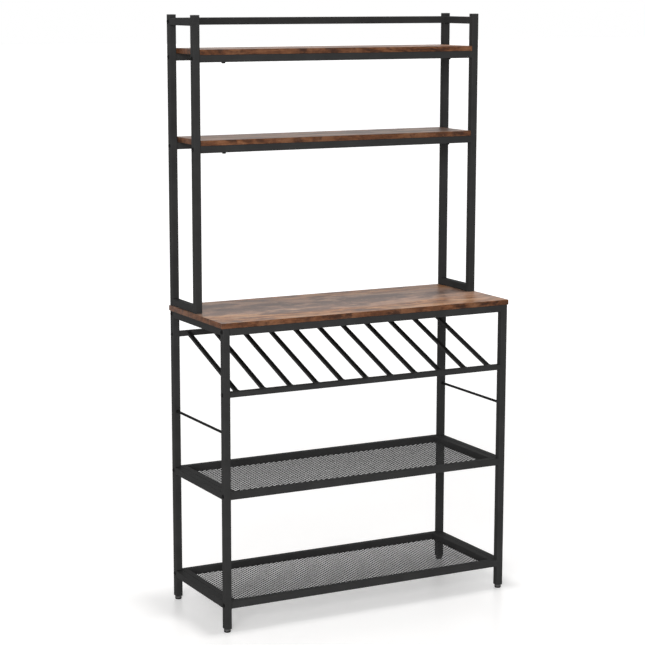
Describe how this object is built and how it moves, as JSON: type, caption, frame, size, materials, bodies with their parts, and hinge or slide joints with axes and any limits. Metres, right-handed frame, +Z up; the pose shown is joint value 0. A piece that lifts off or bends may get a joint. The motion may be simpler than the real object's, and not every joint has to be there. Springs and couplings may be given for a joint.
{
  "type": "bakers rack",
  "caption": "Steel-framed bakers rack with a wooden worktop, mesh shelves, a sloping bottle rack and a shallow hutch with wooden shelves.",
  "frame": {"origin": "on the floor under the middle of the rack's footprint", "axes": "+Z up, +X to the right and -Y to the front for a person standing before the rack"},
  "size_m": [1, 0.392, 1.841],
  "materials": {
    "frame_steel": "black powder coat, satin with a fine orange peel",
    "mesh_steel": "black powder coat on expanded steel mesh",
    "wood_boards": "rustic brown wood grain laminate, matt",
    "foot_rubber": "matt black moulded rubber",
    "end_plastic": "black moulded plastic",
    "black_fasteners": "black oxide steel, satin",
    "zinc_steel": "zinc plated steel",
    "block_steel": "black steel block welded into the rail's end"
  },
  "bodies": {
    "rack": {"foot_plugs": "end_plastic", "hook_rod_left": "frame_steel", "hook_rod_right": "frame_steel", "hutch_bolts": "zinc_steel", "hutch_foot_rail_left": "frame_steel", "hutch_foot_rail_right": "frame_steel", "hutch_frame_bolts": "black_fasteners", "hutch_nuts": "zinc_steel", "hutch_post_back_left": "frame_steel", "hutch_post_back_right": "frame_steel", "hutch_post_caps": "end_plastic", "hutch_post_front_left": "frame_steel", "hutch_post_front_right": "frame_steel", "hutch_rail_end_blocks": "block_steel", "hutch_top_rail_back": "frame_steel", "hutch_top_rail_left": "frame_steel", "hutch_top_rail_right": "frame_steel", "lower_frame_bolts": "black_fasteners", "lower_mesh_panel": "mesh_steel", "lower_mesh_rail_back": "frame_steel", "lower_mesh_rail_front": "frame_steel", "lower_mesh_rail_left": "frame_steel", "lower_mesh_rail_right": "frame_steel", "lower_post_back_left": "frame_steel", "lower_post_back_right": "frame_steel", "lower_post_front_left": "frame_steel", "lower_post_front_right": "frame_steel", "lower_rail_end_blocks": "block_steel", "lower_shelf_board": "wood_boards", "lower_shelf_rail_back": "frame_steel", "lower_shelf_rail_front": "frame_steel", "lower_shelf_screws": "black_fasteners", "mesh_end_tubes": "frame_steel", "tabletop": "wood_boards", "tabletop_rail_back": "frame_steel", "tabletop_rail_front": "frame_steel", "tabletop_rail_left": "frame_steel", "tabletop_rail_right": "frame_steel", "tabletop_screws": "zinc_steel", "upper_mesh_panel": "mesh_steel", "upper_mesh_rail_back": "frame_steel", "upper_mesh_rail_front": "frame_steel", "upper_mesh_rail_left": "frame_steel", "upper_mesh_rail_right": "frame_steel", "upper_shelf_board": "wood_boards", "upper_shelf_rail_back": "frame_steel", "upper_shelf_rail_front": "frame_steel", "upper_shelf_screws": "black_fasteners", "wine_bars": "frame_steel", "wine_rail_end_blocks": "block_steel", "wine_rail_front": "frame_steel", "wine_rail_rear": "frame_steel"},
    "foot_front_left": {"foot_pad_front_left": "foot_rubber", "foot_stud_front_left": "zinc_steel"},
    "foot_front_right": {"foot_pad_front_right": "foot_rubber", "foot_stud_front_right": "zinc_steel"},
    "foot_back_left": {"foot_pad_back_left": "foot_rubber", "foot_stud_back_left": "zinc_steel"},
    "foot_back_right": {"foot_pad_back_right": "foot_rubber", "foot_stud_back_right": "zinc_steel"}
  },
  "joints": [
    {"name": "foot_front_left_height", "type": "slide", "parent": "rack", "child": "foot_front_left", "axis": [0, 0, 1], "range_m": [-0.01, 0]},
    {"name": "foot_front_right_height", "type": "slide", "parent": "rack", "child": "foot_front_right", "axis": [0, 0, 1], "range_m": [-0.01, 0]},
    {"name": "foot_back_left_height", "type": "slide", "parent": "rack", "child": "foot_back_left", "axis": [0, 0, 1], "range_m": [-0.01, 0]},
    {"name": "foot_back_right_height", "type": "slide", "parent": "rack", "child": "foot_back_right", "axis": [0, 0, 1], "range_m": [-0.01, 0]}
  ]
}
